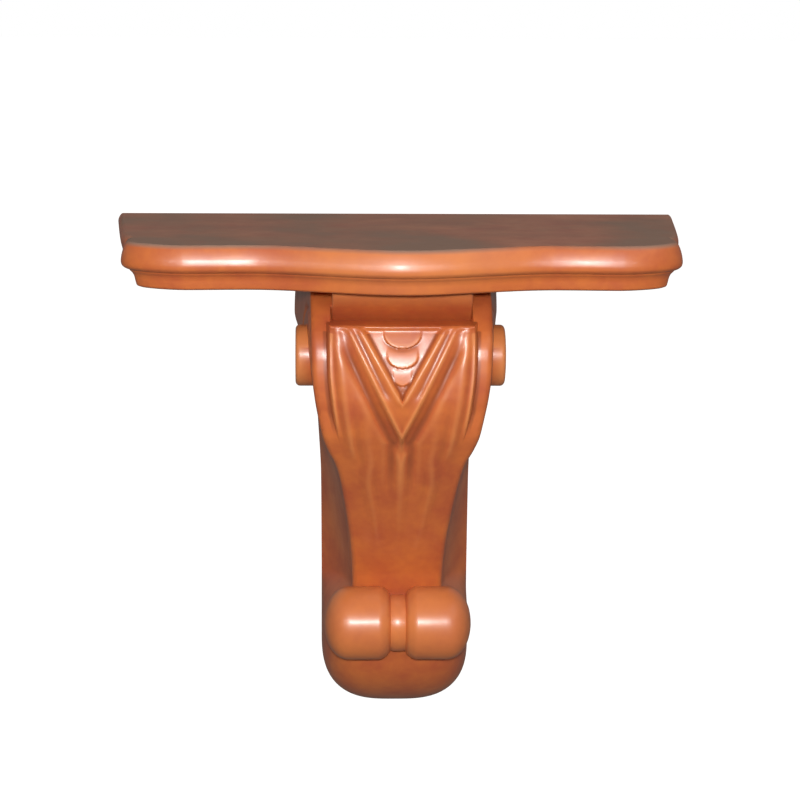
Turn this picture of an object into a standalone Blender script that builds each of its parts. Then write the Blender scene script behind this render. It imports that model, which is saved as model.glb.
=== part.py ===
"""Wall bracket: a serpentine moulded shelf carried by a scroll corbel with a carved leaf.

Metres, +Z up. The flat back lies on y = 0 and the front faces -Y. The origin is on the back
of the corbel, on its centre line, where it is fixed to the wall.
"""

import math

import bmesh
import bpy
import numpy as np

MM = 0.001

# Shelf
SHELF_TOP = 150 * MM  # height of the shelf's top above the origin
SHELF_THICKNESS = 30 * MM
SHELF_CORNER_HALF = 182 * MM  # half width at the front corners
SHELF_CORNER_DEPTH = 168.5 * MM  # from the wall to the front beside the corners
CORNER_SIDE_DEPTH = 140 * MM  # from the wall to where the corner meets the side
CORNER_FRONT_HALF = 140 * MM  # half width where the corner meets the front
CORNER_FRONT_HANDLE = 12 * MM  # how far the corner runs on in line with the front
CORNER_SIDE_HANDLE = 18 * MM  # and in line with the side
BOW_RISE = 21.5 * MM  # how far the middle of the front stands beyond the corners
BOW_HALF = 97 * MM  # half width of the bow
HOLLOW_DEPTH = 1.8 * MM  # dip on each side of the bow
HOLLOW_START = 60 * MM
FRONT_POINTS = 17
CORNER_POINTS = 10
NOTCH_DEPTH = 3.4 * MM  # nick in each side, behind the corner
NOTCH_PLACE = 125 * MM  # from the wall to the nick
NOTCH_BACK = 6 * MM
NOTCH_FRONT = 4 * MM
NOTCH_WHOLE_SHARE = 0.45  # share of the thickness down to which the nick has its full depth
NOTCH_END_SHARE = 0.90  # and at which it has died out
SIDE_UNDERCUT = 3.5 * MM  # how much further the moulding runs in along the sides
UNDERCUT_RUN = 10 * MM  # behind the nick, over which the undercut grows
UNDERCUT_START_SHARE = 0.1  # shares of the thickness between which it deepens
UNDERCUT_FULL_SHARE = 0.5
# Depth from the wall and how far the side stands out there beyond the front corner.
SIDE_SWELL = ((0, 14 * MM), (0.06, 8.5 * MM), (0.10, 4.5 * MM), (0.125, 1 * MM), (0.14, 0))
SIDE_DEPTHS = (0.136, 0.132, 0.129, 0.127, 0.125, 0.123, 0.12, 0.115, 0.107, 0.095, 0.075, 0.05, 0.025, 0)

# Edge moulding, from the top down: inset from the outline and height below the top,
# as shares of the moulding's own inset and of the thickness of the shelf.
MOULDING_INSET = 12.5 * MM
MOULDING = (
    (0.400, 0.000),
    (0.325, 0.020),
    (0.235, 0.065),
    (0.149, 0.145),
    (0.072, 0.245),
    (0.026, 0.330),
    (0.000, 0.430),
    (0.024, 0.500),
    (0.120, 0.555),
    (0.270, 0.592),
    (0.410, 0.610),
    (0.460, 0.640),
    (0.590, 0.695),
    (0.690, 0.775),
    (0.750, 0.880),
    (0.820, 0.965),
    (1.000, 1.000),
)

# Corbel
SEAM_GAP = 0.3 * MM  # between the shelf and the corbel
CORBEL_HEIGHT = 319 * MM
BAND_HALF = 60 * MM  # half width of the scroll band at the top
LEAF_PROJECTION = 154.6 * MM  # from the wall to the fullest part of the leaf
BACK_HALF = 52 * MM  # half width at the wall, low down
EDGE_ROUND = 4.5 * MM  # rounding along both edges of the front
LEAF_SHARE = 0.81  # half width of the leaf, as a share of the half width of the front
RELIEF = 1.0 * MM  # unit of the carving's height

# The carved front, as shares of the corbel's own height and of its projection.
# Each pair is (height down from the top, value there).
LIP_SHARE = 0.075
LEAF_DEPTH = (
    (0.076, 0.96),
    (0.100, 0.976),
    (0.120, 0.986),
    (0.140, 0.9935),
    (0.160, 0.998),
    (0.190, 1),
    (0.220, 0.997),
    (0.248, 0.985),
    (0.270, 0.969),
    (0.306, 0.937),
    (0.331, 0.907),
    (0.395, 0.828),
    (0.476, 0.718),
    (0.558, 0.611),
    (0.623, 0.53),
    (0.665, 0.485),
    (0.720, 0.452),
    (0.770, 0.49),
    (0.830, 0.53),
)
BAND_DEPTH = (
    (0.000, 0.615),
    (0.028, 0.725),
    (0.046, 0.802),
    (0.079, 0.890),
    (0.096, 0.922),
    (0.112, 0.943),
    (0.128, 0.956),
    (0.150, 0.965),
    (0.186, 0.970),
    (0.228, 0.964),
    (0.267, 0.944),
    (0.306, 0.912),
    (0.331, 0.884),
)
# Half width of the front and of the back, as shares of BAND_HALF and BACK_HALF.
FRONT_HALF = (
    (0.000, 1.000),
    (0.165, 0.985),
    (0.228, 0.950),
    (0.291, 0.890),
    (0.318, 0.858),
    (0.348, 0.800),
    (0.376, 0.730),
    (0.400, 0.690),
    (0.455, 0.635),
    (0.520, 0.585),
    (0.575, 0.550),
    (0.670, 0.520),
    (0.695, 0.520),
    (0.730, 0.680),
    (0.770, 0.780),
    (0.830, 0.800),
)
WALL_HALF = (
    (0.000, 1.330),
    (0.120, 1.370),
    (0.165, 1.300),
    (0.210, 1.170),
    (0.250, 1.115),
    (0.395, 1.040),
    (0.490, 1.010),
    (0.700, 1.000),
)
FLANK_BEND = ((0.00, 1.0), (0.25, 1.1), (0.45, 2.0), (0.70, 2.0), (0.83, 1.0))
CROWN = ((0.00, 2.0), (0.08, 2.0), (0.25, 3.5), (0.45, 4.0), (0.69, 3.0))  # in RELIEF units

# Block under the shelf
BLOCK_HALF = 45.6 * MM
BLOCK_TOP_DEPTH = 150 * MM
BLOCK_FOOT_DEPTH = 127.5 * MM
BLOCK_BACK_DEPTH = 90 * MM
BLOCK_HEIGHT = 23.2 * MM
BLOCK_SINK = 5 * MM  # how far the block runs down into the leaf
BED_DEPTH = 4 * MM  # how far the body lies back behind the foot of the block
BED_GAP = 1.5 * MM  # beside the block
BLOCK_STEPS = 6

# Volute eyes at the sides
EYE_DEPTH = 100 * MM
EYE_DROP = 52 * MM  # below the corbel's top
EYE_RADIUS = 20.5 * MM
EYE_HALF = 69.7 * MM
EYE_ROUND = 3 * MM
EYE_ROOT_HALF = 45 * MM  # where the eye ends inside the body
EYE_SIDES = 24

# Lower roll: two lobes and a neck, turned about X
ROLL_DEPTH = 87 * MM
ROLL_DROP = 241.2 * MM
ROLL_RADIUS = 25.2 * MM
ROLL_HALF = 50.3 * MM
NECK_HALF = 5.5 * MM
NECK_RADIUS = 18.5 * MM
LOBE_END = 18 * MM  # length of the rounded outer end of a lobe
LOBE_INNER_ROUND = 8 * MM
ROLL_SIDES = 28

# Rounded bottom
BOWL_START_SHARE = 0.70  # share of the height where the leaf's section starts to turn round
BOWL_FULL_SHARE = 0.80
BOWL_CENTRE_SHARE = 0.768
BOWL_DEPTH = 84 * MM
BOWL_SIDE_START_SHARE = 0.858
BOWL_SQUARE = 2.4
BOWL_SECTION = 3.2
BOWL_LAST_SHARE = 0.985  # where the bottom ends in a small flat

# Carving, as shares of the corbel's height and of BAND_HALF
INNER_RIB_TIP_SHARE = 0.237
INNER_RIB_SLOPE = 2.94
OUTER_RIB_TIP_SHARE = 0.325
OUTER_RIB_SLOPE = 2.47
SCALES = ((0.115, 0.22), (0.160, 0.17), (0.202, 0.10))  # lowest point and half width
SCALE_FULL_SHARE = 0.95  # share of a scale's half width out to which it stands at its full height
SCALE_END_SHARE = 1.25
CENTRE_FLUTE = ((0.34, 0.0), (0.60, 0.0))
INNER_FLUTE = ((0.27, 0.33), (0.33, 0.27), (0.42, 0.24), (0.60, 0.20))
OUTER_FLUTE = ((0.08, 0.76), (0.20, 0.66), (0.32, 0.56), (0.42, 0.47), (0.60, 0.42))
FLUTE_HEIGHTS = (
    ((0.33, 0.0), (0.36, 1.3), (0.44, 1.0), (0.58, 0.0)),
    ((0.25, 0.0), (0.32, 1.4), (0.42, 1.1), (0.58, 0.0)),
    ((0.08, 0.9), (0.20, 1.4), (0.40, 1.4), (0.62, 0.0)),
)
FLUTE_WIDTH = 0.085

CORBEL_COLOUR = (0.52, 0.15, 0.045, 1.0)
SHELF_COLOUR = (0.50, 0.15, 0.05, 1.0)


def curve_through(knots, x):
    """Smooth curve through (place, value) pairs that never swings past them."""
    places, values = np.array(knots, float).T
    steps = np.diff(places)
    slopes = np.diff(values) / steps
    same_way = slopes[1:] * slopes[:-1] > 0
    middle = np.where(same_way, 2 * slopes[1:] * slopes[:-1] / (slopes[1:] + slopes[:-1] + 1e-12), 0)
    tangents = np.concatenate([slopes[:1], middle, slopes[-1:]])
    x = np.clip(np.asarray(x, float), places[0], places[-1])
    i = np.clip(np.searchsorted(places, x, side="right") - 1, 0, len(steps) - 1)
    t = (x - places[i]) / steps[i]
    return (
        values[i] * (1 + 2 * t) * (1 - t) ** 2
        + tangents[i] * steps[i] * t * (1 - t) ** 2
        + values[i + 1] * t * t * (3 - 2 * t)
        - tangents[i + 1] * steps[i] * t * t * (1 - t)
    )


def ramp(start, end, x):
    """0 before start, 1 after end, smooth between."""
    t = np.clip((x - start) / (end - start), 0, 1)
    return t * t * (3 - 2 * t)


def bump(x, centre, width):
    return np.exp(-(((x - centre) / width) ** 2))


def carving(side, height, front_share):
    """Height of the relief in RELIEF units. side is the share of BAND_HALF from the centre
    line, height the share of the corbel's height, front_share the share of the front's width."""
    inner = INNER_RIB_SLOPE * (INNER_RIB_TIP_SHARE - height)
    outer = OUTER_RIB_SLOPE * (OUTER_RIB_TIP_SHARE - height)
    below_lip = ramp(LIP_SHARE, LIP_SHARE + 0.02, height)
    in_leaf = below_lip * (outer > -0.1)
    raised = ramp(-0.03, 0.05, outer - side) * (1.0 + 2.0 * ramp(0.1, 0.3, height))
    ribs = 1.3 * bump(side, outer, 0.055) * (outer > -0.1)
    ribs += 1.2 * bump(side, inner, 0.045) * ramp(-0.06, 0.05, inner)
    floor = -1.4 * ramp(0, 0.08, inner - side)
    valley = -2.0 * bump(side, outer + 0.11, 0.07) * ramp(0.09, 0.16, height)
    relief = in_leaf * (raised + ribs + floor) + below_lip * valley * (outer > -0.25)
    for lowest, half in SCALES:
        edge = lowest - 0.035 * (side / half) ** 2
        up = edge - height
        tile = ramp(-0.004, 0.002, up) * (1 - ramp(0.0, 0.045, up))
        relief += 2.0 * tile * ramp(SCALE_END_SHARE, SCALE_FULL_SHARE, side / half)
    outside = ramp(0.0, 0.10, side - outer - 0.04)
    for path, heights in zip((CENTRE_FLUTE, INNER_FLUTE, OUTER_FLUTE), FLUTE_HEIGHTS):
        ridge = bump(front_share, curve_through(path, height), FLUTE_WIDTH)
        relief += curve_through(heights, height) * ridge * outside * below_lip
    groove = bump(front_share, LEAF_SHARE - 0.02 - 0.2 * (height - LIP_SHARE), 0.045)
    return relief - 1.5 * groove * below_lip * (1 - ramp(0.3, 0.45, height))


def front_depth(x, drop):
    """Distance from the wall to the carved front, at x from the centre line."""
    height = drop / CORBEL_HEIGHT
    half = BAND_HALF * curve_through(FRONT_HALF, height)
    share = x / half
    band = LEAF_PROJECTION * curve_through(BAND_DEPTH, height)
    leaf = LEAF_PROJECTION * curve_through(LEAF_DEPTH, height)
    on_leaf = ramp(LEAF_SHARE + 0.03, LEAF_SHARE - 0.03, share) * (height >= LIP_SHARE)
    low = ramp(0.25, 0.33, height)
    depth = band + (leaf - band) * np.maximum(on_leaf, low)
    bead = 1.2 * bump(height, LIP_SHARE + 0.008, 0.006) * on_leaf
    crown = curve_through(CROWN, height) * share**2
    behind_block = (height < LIP_SHARE) * (x < BLOCK_HALF + BED_GAP)
    bed = np.minimum(depth, BLOCK_FOOT_DEPTH - BED_DEPTH)
    depth = np.where(behind_block, bed, depth)
    fade = 1 - ramp(0.66, 0.69, height)
    return depth + RELIEF * (bead - crown + fade * carving(x / BAND_HALF, height, share))


def corbel_sections(drops, front_steps, corner_steps, flank_steps):
    """x and depth of half a section at each drop, from the centre line to the wall."""
    drop = drops[:, None]
    height = drop / CORBEL_HEIGHT
    half = BAND_HALF * curve_through(FRONT_HALF, height)
    wall = BACK_HALF * curve_through(WALL_HALF, height)
    inner = half - EDGE_ROUND
    front_x = inner * np.linspace(0, 1, front_steps + 1)[None, :]
    front_y = front_depth(front_x, drop)
    turn = np.linspace(0, math.pi / 2, corner_steps + 1)[None, 1:]
    corner_x = inner + EDGE_ROUND * np.sin(turn)
    corner_y = front_y[:, -1:] - EDGE_ROUND * (1 - np.cos(turn))
    back = np.linspace(1, 0, flank_steps + 1)[None, 1:]
    bend = curve_through(FLANK_BEND, height)
    flank_x = half + (wall - half) * (1 - back) ** bend
    flank_y = back * corner_y[:, -1:]
    x = np.concatenate([front_x, corner_x, flank_x], axis=1)
    y = np.concatenate([front_y, corner_y, flank_y], axis=1)

    # Lower down the section turns into a rounded bowl, a squared ellipse.
    turned = ramp(BOWL_START_SHARE, BOWL_FULL_SHARE, height)
    around = np.linspace(0, math.pi / 2, x.shape[1])[None, :]
    down = np.clip((height - BOWL_CENTRE_SHARE) / (1 - BOWL_CENTRE_SHARE), 0, 1)
    bowl_depth = BOWL_DEPTH * np.sqrt(1 - down**2)
    aside = np.clip((height - BOWL_SIDE_START_SHARE) / (1 - BOWL_SIDE_START_SHARE), 0, 1)
    bowl_half = wall * (1 - aside**BOWL_SQUARE) ** (1 / BOWL_SQUARE)
    bowl_x = bowl_half * np.sin(around) ** (2 / BOWL_SECTION)
    bowl_y = bowl_depth * np.abs(np.cos(around)) ** (2 / BOWL_SECTION)
    bowl_y[:, -1] = 0
    return x + (bowl_x - x) * turned, y + (bowl_y - y) * turned


def corbel_drops():
    """Heights of the sections: close at the lip and the scales, and closer towards the bottom."""
    lip = LIP_SHARE * CORBEL_HEIGHT
    top = np.linspace(0, lip - 0.4 * MM, 5)
    upper = np.linspace(lip + 0.1 * MM, 0.36 * CORBEL_HEIGHT, 25)
    middle = np.linspace(0.36 * CORBEL_HEIGHT, BOWL_CENTRE_SHARE * CORBEL_HEIGHT, 17)[1:]
    angle = np.linspace(0, math.asin(BOWL_LAST_SHARE), 10)[1:]
    low = (BOWL_CENTRE_SHARE + (1 - BOWL_CENTRE_SHARE) * np.sin(angle)) * CORBEL_HEIGHT
    return np.concatenate([top, upper, middle, low])


def loft(name, rings, collection):
    """A closed mesh through rings of equal count, each an array of points, with flat ends."""
    count = len(rings[0])
    points = [tuple(map(float, point)) for ring in rings for point in ring]
    faces = [tuple(range(count))]
    for k in range(len(rings) - 1):
        for i in range(count):
            j = (i + 1) % count
            faces.append((k * count + i, (k + 1) * count + i, (k + 1) * count + j, k * count + j))
    last = (len(rings) - 1) * count
    faces.append(tuple(range(last + count - 1, last - 1, -1)))
    mesh = bpy.data.meshes.new(name)
    mesh.from_pydata(points, [], faces)
    body = bmesh.new()
    body.from_mesh(mesh)
    bmesh.ops.triangulate(body, faces=[face for face in body.faces if len(face.verts) > 4])
    bmesh.ops.recalc_face_normals(body, faces=body.faces)
    body.to_mesh(mesh)
    body.free()
    made = bpy.data.objects.new(name, mesh)
    collection.objects.link(made)
    return made


def corbel_top():
    return SHELF_TOP - SHELF_THICKNESS - SEAM_GAP


def corbel_body(collection):
    """The scroll and its leaf, from the shelf down to the rounded bottom."""
    drops = corbel_drops()
    half_x, half_y = corbel_sections(drops, 18, 3, 5)
    rings = []
    for drop, xs, ys in zip(drops, half_x, half_y):
        x = np.concatenate([-xs[::-1], xs[1:]])
        y = np.concatenate([-ys[::-1], -ys[1:]])
        rings.append(np.column_stack([x, y, np.full(len(x), corbel_top() - drop)]))
    return loft("corbel", rings, collection)


def block(collection):
    """The block under the shelf, its front rounded inwards towards the leaf."""
    foot = BLOCK_HEIGHT + BLOCK_SINK
    drops = np.linspace(0, foot, BLOCK_STEPS + 1)
    curve = (drops / BLOCK_HEIGHT) ** 1.45
    depths = BLOCK_TOP_DEPTH - (BLOCK_TOP_DEPTH - BLOCK_FOOT_DEPTH) * curve
    y = np.concatenate([-depths, [-BLOCK_BACK_DEPTH, -BLOCK_BACK_DEPTH]])
    z = corbel_top() - np.concatenate([drops, [foot, 0]])
    rings = [np.column_stack([np.full(len(y), side), y, z]) for side in (-BLOCK_HALF, BLOCK_HALF)]
    return loft("block", rings, collection)


def turned_about_x(name, profile, depth, drop, sides, collection):
    """A solid turned about a line along X: profile is a list of (x, radius)."""
    mesh = bpy.data.meshes.new(name)
    points = [(x, radius, 0.0) for x, radius in profile]
    mesh.from_pydata(points, [(i, i + 1) for i in range(len(profile) - 1)], [])
    made = bpy.data.objects.new(name, mesh)
    collection.objects.link(made)
    made.location = (0, -depth, corbel_top() - drop)
    screw = made.modifiers.new("turn", "SCREW")
    screw.axis = "X"
    screw.steps = sides
    screw.render_steps = sides
    screw.use_merge_vertices = True
    screw.merge_threshold = 0.00001
    screw.use_normal_flip = True
    return made


def roll_radius(x):
    """Radius of the lower roll at x: a narrow neck between two lobes with rounded outer ends."""
    short = np.clip((NECK_HALF + LOBE_INNER_ROUND - x) / LOBE_INNER_ROUND, 0, 1)
    lobe = NECK_RADIUS + (ROLL_RADIUS - NECK_RADIUS) * np.sqrt(1 - short**3)
    body = np.where(x < NECK_HALF, NECK_RADIUS, lobe)
    out = np.clip((x - (ROLL_HALF - LOBE_END)) / LOBE_END, 0, 1)
    return body * np.sqrt(1 - out**2.3)


def lower_roll(collection):
    inner = NECK_HALF + LOBE_INNER_ROUND * np.array([-0.1, 0, 0.06, 0.2, 0.45, 0.75])
    angle = np.linspace(0, math.pi / 2, 7)
    outer = ROLL_HALF - LOBE_END + LOBE_END * np.sin(angle)
    x = np.concatenate([inner, outer])
    x = np.concatenate([-x[::-1], x])
    radius = roll_radius(np.abs(x))
    radius[0] = 0
    radius[-1] = 0
    profile = list(zip(x.tolist(), radius.tolist()))
    return turned_about_x("roll", profile, ROLL_DEPTH, ROLL_DROP, ROLL_SIDES, collection)


def volute_eye(side, collection):
    turn = np.linspace(0, math.pi / 2, 4)
    x = EYE_HALF - EYE_ROUND + EYE_ROUND * np.sin(turn)
    radius = EYE_RADIUS - EYE_ROUND + EYE_ROUND * np.cos(turn)
    profile = [(EYE_ROOT_HALF, 0.0), (EYE_ROOT_HALF, EYE_RADIUS)]
    profile += list(zip(x.tolist(), radius.tolist()))
    profile.append((EYE_HALF, 0.0))
    if side < 0:
        profile = [(-x, radius) for x, radius in reversed(profile)]
    name = "eye_right" if side > 0 else "eye_left"
    return turned_about_x(name, profile, EYE_DEPTH, EYE_DROP, EYE_SIDES, collection)


def bezier(a, b, c, d, t):
    a, b, c, d = (np.array(point)[None, :] for point in (a, b, c, d))
    t = t[:, None]
    return a * (1 - t) ** 3 + 3 * b * t * (1 - t) ** 2 + 3 * c * t * t * (1 - t) + d * t**3


def shelf_outline():
    """Half the plan without its nick, from the middle of the front to the wall: x and depth."""
    x = np.linspace(0, CORNER_FRONT_HALF, FRONT_POINTS)
    bow = BOW_RISE * np.cos(np.clip(x / BOW_HALF, 0, 1) * math.pi / 2) ** 2
    across = np.clip((x - HOLLOW_START) / (CORNER_FRONT_HALF - HOLLOW_START), 0, 1)
    front = np.column_stack([x, SHELF_CORNER_DEPTH + bow - HOLLOW_DEPTH * np.sin(math.pi * across) ** 2])
    corner = bezier(
        (CORNER_FRONT_HALF, SHELF_CORNER_DEPTH),
        (CORNER_FRONT_HALF + CORNER_FRONT_HANDLE, SHELF_CORNER_DEPTH),
        (SHELF_CORNER_HALF, CORNER_SIDE_DEPTH + CORNER_SIDE_HANDLE),
        (SHELF_CORNER_HALF, CORNER_SIDE_DEPTH),
        np.linspace(0, 1, CORNER_POINTS),
    )
    depths = np.array(SIDE_DEPTHS)
    side = np.column_stack([SHELF_CORNER_HALF + curve_through(SIDE_SWELL, depths), depths])
    return np.concatenate([front, corner[1:], side])


def shelf(collection):
    """A slab whose outline is carried down the edge moulding, inset step by step."""
    outline = shelf_outline()
    along = np.gradient(outline, axis=0)
    outward = np.column_stack([-along[:, 1], along[:, 0]])
    outward /= np.linalg.norm(outward, axis=1)[:, None]
    outward[0] = (0, 1)
    outward[-1] = (1, 0)
    past = outline[:, 1] - NOTCH_PLACE
    nick = NOTCH_DEPTH * np.exp(-np.abs(past) / np.where(past > 0, NOTCH_FRONT, NOTCH_BACK))
    nick[outline[:, 0] < SHELF_CORNER_HALF - NOTCH_DEPTH] = 0
    on_side = ramp(NOTCH_PLACE, NOTCH_PLACE - UNDERCUT_RUN, outline[:, 1])
    rings = []
    for inset_share, drop_share in MOULDING:
        inset = inset_share * MOULDING_INSET
        undercut = SIDE_UNDERCUT * ramp(UNDERCUT_START_SHARE, UNDERCUT_FULL_SHARE, drop_share)
        shift = inset + nick * ramp(NOTCH_END_SHARE, NOTCH_WHOLE_SHARE, drop_share) + undercut * on_side
        half = outline - outward * shift[:, None]
        half[-1, 1] = 0
        x = np.concatenate([-half[::-1, 0], half[1:, 0]])
        y = np.concatenate([-half[::-1, 1], -half[1:, 1]])
        z = np.full(len(x), SHELF_TOP - drop_share * SHELF_THICKNESS)
        rings.append(np.column_stack([x, y, z]))
    return loft("shelf", rings, collection)


def gloss(name, colour):
    material = bpy.data.materials.new(name)
    material.use_nodes = True
    shader = material.node_tree.nodes["Principled BSDF"]
    shader.inputs["Base Color"].default_value = colour
    shader.inputs["Roughness"].default_value = 0.25
    shader.inputs["Metallic"].default_value = 0.0
    return material


def union(target, helpers):
    for helper in helpers:
        helper.hide_render = True
        helper.display_type = "WIRE"
        join = target.modifiers.new("join " + helper.name, "BOOLEAN")
        join.operation = "UNION"
        join.solver = "EXACT"
        join.object = helper


def main():
    for old in list(bpy.data.objects):
        bpy.data.objects.remove(old, do_unlink=True)
    parts = bpy.data.collections.new("wall bracket")
    cutters = bpy.data.collections.new("joined shapes")
    bpy.context.scene.collection.children.link(parts)
    bpy.context.scene.collection.children.link(cutters)

    corbel = corbel_body(parts)
    union(corbel, [block(cutters), lower_roll(cutters), volute_eye(-1, cutters), volute_eye(1, cutters)])
    corbel.data.materials.append(gloss("corbel glaze", CORBEL_COLOUR))
    top = shelf(parts)
    top.data.materials.append(gloss("shelf glaze", SHELF_COLOUR))
    for made in (corbel, top):
        made.data.shade_smooth()
        made.data.set_sharp_from_angle(angle=math.radians(32))


main()
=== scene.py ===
import math

import bmesh
import bpy
import numpy as np
from mathutils import Euler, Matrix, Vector


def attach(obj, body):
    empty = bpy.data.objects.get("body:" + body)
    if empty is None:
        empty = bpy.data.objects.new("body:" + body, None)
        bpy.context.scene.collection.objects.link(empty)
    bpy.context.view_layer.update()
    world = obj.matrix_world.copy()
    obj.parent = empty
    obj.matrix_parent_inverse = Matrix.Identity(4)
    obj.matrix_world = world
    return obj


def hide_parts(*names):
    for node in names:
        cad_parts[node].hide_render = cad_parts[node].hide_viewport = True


# Wall bracket in glossy glazed terracotta: a moulded shelf with a serpentine front on a scroll
# corbel with a carved leaf. Metres, +Z up. The wall is the plane y = 0 and the front faces -Y.
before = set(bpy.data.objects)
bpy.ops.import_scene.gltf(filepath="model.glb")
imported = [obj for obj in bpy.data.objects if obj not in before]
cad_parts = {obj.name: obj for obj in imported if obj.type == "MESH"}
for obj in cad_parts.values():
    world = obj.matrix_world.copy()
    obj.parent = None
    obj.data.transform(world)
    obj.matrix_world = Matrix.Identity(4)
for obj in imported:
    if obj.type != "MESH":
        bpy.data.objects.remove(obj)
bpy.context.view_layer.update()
grain = 1.0  # share of the full number of grid lines
print("frame loaded")

# The camera stands a little to the left, with a flash just above its lens.
view = {
    "place": (-0.055, -1.8, 0.377),
    "lens": 116.5,  # mm
    "sensor": 36,  # mm across
    "reach": 200,  # how far it sees, in m
    "down": 11.3,  # degrees
    "right": 1.86,
    "roll": 0.4,
}

light = {
    "aim": (0, -0.1, 0),
    "flashAbove": 0.067,  # from the lens
    "flashSize": (0.06, 0.06),
    "flashPower": 20,
    "stripPlace": (-0.05, -1.95, 0.50),
    "stripSize": (2.6, 0.10),
    "stripPower": 19,
    "fillPlace": (1.6, -1.2, 1.8),
    "fillSize": (1.4, 1.4),
    "fillPower": 5,
    "air": "#FFFBF6",
    "ceiling": 0.26,  # brightness of the room above, in reflections and in the soft light
    "below": 0.13,
    "fadeOver": (-0.1, 0.25),  # upward slopes between which the room grows brighter
    "paper": "#FFFFFF",
    "floor": "#E8E6E3",
    "floorRough": 0.9,
    "floorGlow": 0.9,
    "floorDrop": 1.5,  # how far below the mount the floor lies
    "floorHalf": 30.0,
}


# sRGB hex to the linear values that a shader takes.
def colour(hexValue):
    srgb = [int(hexValue[i:i + 2], 16) / 255 for i in (1, 3, 5)]
    return [c / 12.92 if c <= 0.04045 else ((c + 0.055) / 1.055) ** 2.4 for c in srgb] + [1.0]


# Adds a node with its settings, its values and its links from other nodes' outputs.
def addNode(tree, kind, values={}, links={}, **settings):
    node = tree.nodes.new(kind)
    for name, value in settings.items():
        setattr(node, name, value)
    for socket, value in values.items():
        node.inputs[socket].default_value = value
    for socket, source in links.items():
        tree.links.new(source, node.inputs[socket])
    return node


# Looks level along +Y, then turns down and to the right, and rolls about its own axis.
def addCamera():
    data = bpy.data.cameras.new("camera")
    data.lens = view["lens"]
    data.sensor_width = view["sensor"]
    data.clip_end = view["reach"]
    data.dof.use_dof = False
    eye = bpy.data.objects.new("camera", data)
    down = math.pi / 2 - math.radians(view["down"])
    aim = Euler((down, 0, -math.radians(view["right"]))).to_matrix()
    roll = Euler((0, 0, math.radians(view["roll"]))).to_matrix()
    eye.rotation_euler = (aim @ roll).to_euler()
    eye.location = view["place"]
    bpy.context.scene.collection.objects.link(eye)
    bpy.context.scene.camera = eye


# A rectangle of light at its place, turned to face the aim.
def addAreaLight(name, place, size, power):
    data = bpy.data.lights.new(name, "AREA")
    data.shape = "RECTANGLE"
    data.size, data.size_y = size
    data.energy = power
    lamp = bpy.data.objects.new(name, data)
    lamp.location = place
    toward = Vector(light["aim"]) - Vector(place)
    lamp.rotation_euler = toward.to_track_quat("-Z", "Y").to_euler()
    bpy.context.scene.collection.objects.link(lamp)


# White paper to the camera, and to everything else a dim room, lighter above than below.
def addRoom():
    world = bpy.data.worlds.new("room")
    bpy.context.scene.world = world
    world.use_nodes = True
    tree = world.node_tree
    tree.nodes.clear()
    path = addNode(tree, "ShaderNodeLightPath")
    toward = addNode(tree, "ShaderNodeTexCoord").outputs["Generated"]
    up = addNode(tree, "ShaderNodeSeparateXYZ", {}, {"Vector": toward}).outputs["Z"]
    start, end = light["fadeOver"]
    fade = {"From Min": start, "From Max": end, "To Min": light["below"], "To Max": light["ceiling"]}
    level = addNode(tree, "ShaderNodeMapRange", fade, {"Value": up}).outputs[0]
    room = addNode(tree, "ShaderNodeBackground", {"Color": colour(light["air"])}, {"Strength": level})
    paper = addNode(tree, "ShaderNodeBackground", {"Color": colour(light["paper"])})
    seen = {0: path.outputs["Is Camera Ray"], 1: room.outputs[0], 2: paper.outputs[0]}
    mix = addNode(tree, "ShaderNodeMixShader", {}, seen)
    addNode(tree, "ShaderNodeOutputWorld", {}, {"Surface": mix.outputs[0]})


# A pale floor far below, which the camera sees and which throws no light back up.
def addFloor():
    half = light["floorHalf"]
    low = -light["floorDrop"]
    corners = [(-half, -half, low), (half, -half, low), (half, half, low), (-half, half, low)]
    mesh = bpy.data.meshes.new("floor")
    mesh.from_pydata(corners, [], [(0, 1, 2, 3)])
    floor = bpy.data.objects.new("floor", mesh)
    bpy.context.scene.collection.objects.link(floor)
    paint = bpy.data.materials.new("palePaper")
    paint.use_nodes = True
    shader = paint.node_tree.nodes["Principled BSDF"]
    shader.inputs["Base Color"].default_value = colour(light["floor"])
    shader.inputs["Roughness"].default_value = light["floorRough"]
    shader.inputs["Emission Color"].default_value = colour(light["paper"])
    shader.inputs["Emission Strength"].default_value = light["floorGlow"]
    mesh.materials.append(paint)
    floor.visible_diffuse = False
    floor.visible_glossy = False


addCamera()
flash = (view["place"][0], view["place"][1], view["place"][2] + light["flashAbove"])
addAreaLight("flash", flash, light["flashSize"], light["flashPower"])
addAreaLight("strip", light["stripPlace"], light["stripSize"], light["stripPower"])
addAreaLight("fill", light["fillPlace"], light["fillSize"], light["fillPower"])
addRoom()
addFloor()
print("camera, lights, room and floor made")


# Smooth curve through (place, value) pairs that never swings past them: a cubic between each two
# pairs, whose slope at a pair is the harmonic mean of the slopes beside it, or level at a turn.
def throughPairs(pairs, x):
    places, values = np.array(pairs, float).T
    steps = np.diff(places)
    slopes = np.diff(values) / steps
    before, after = slopes[:-1], slopes[1:]
    middle = np.where(before * after > 0, 2 * before * after / (before + after + 1e-12), 0)
    tangents = np.concatenate([slopes[:1], middle, slopes[-1:]])
    x = np.clip(np.asarray(x, float), places[0], places[-1])
    i = np.clip(np.searchsorted(places, x, side="right") - 1, 0, len(steps) - 1)
    t = (x - places[i]) / steps[i]
    start = values[i] * (1 + 2 * t) * (1 - t) ** 2 + tangents[i] * steps[i] * t * (1 - t) ** 2
    end = values[i + 1] * t * t * (3 - 2 * t) - tangents[i + 1] * steps[i] * t * t * (1 - t)
    return start + end


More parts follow.
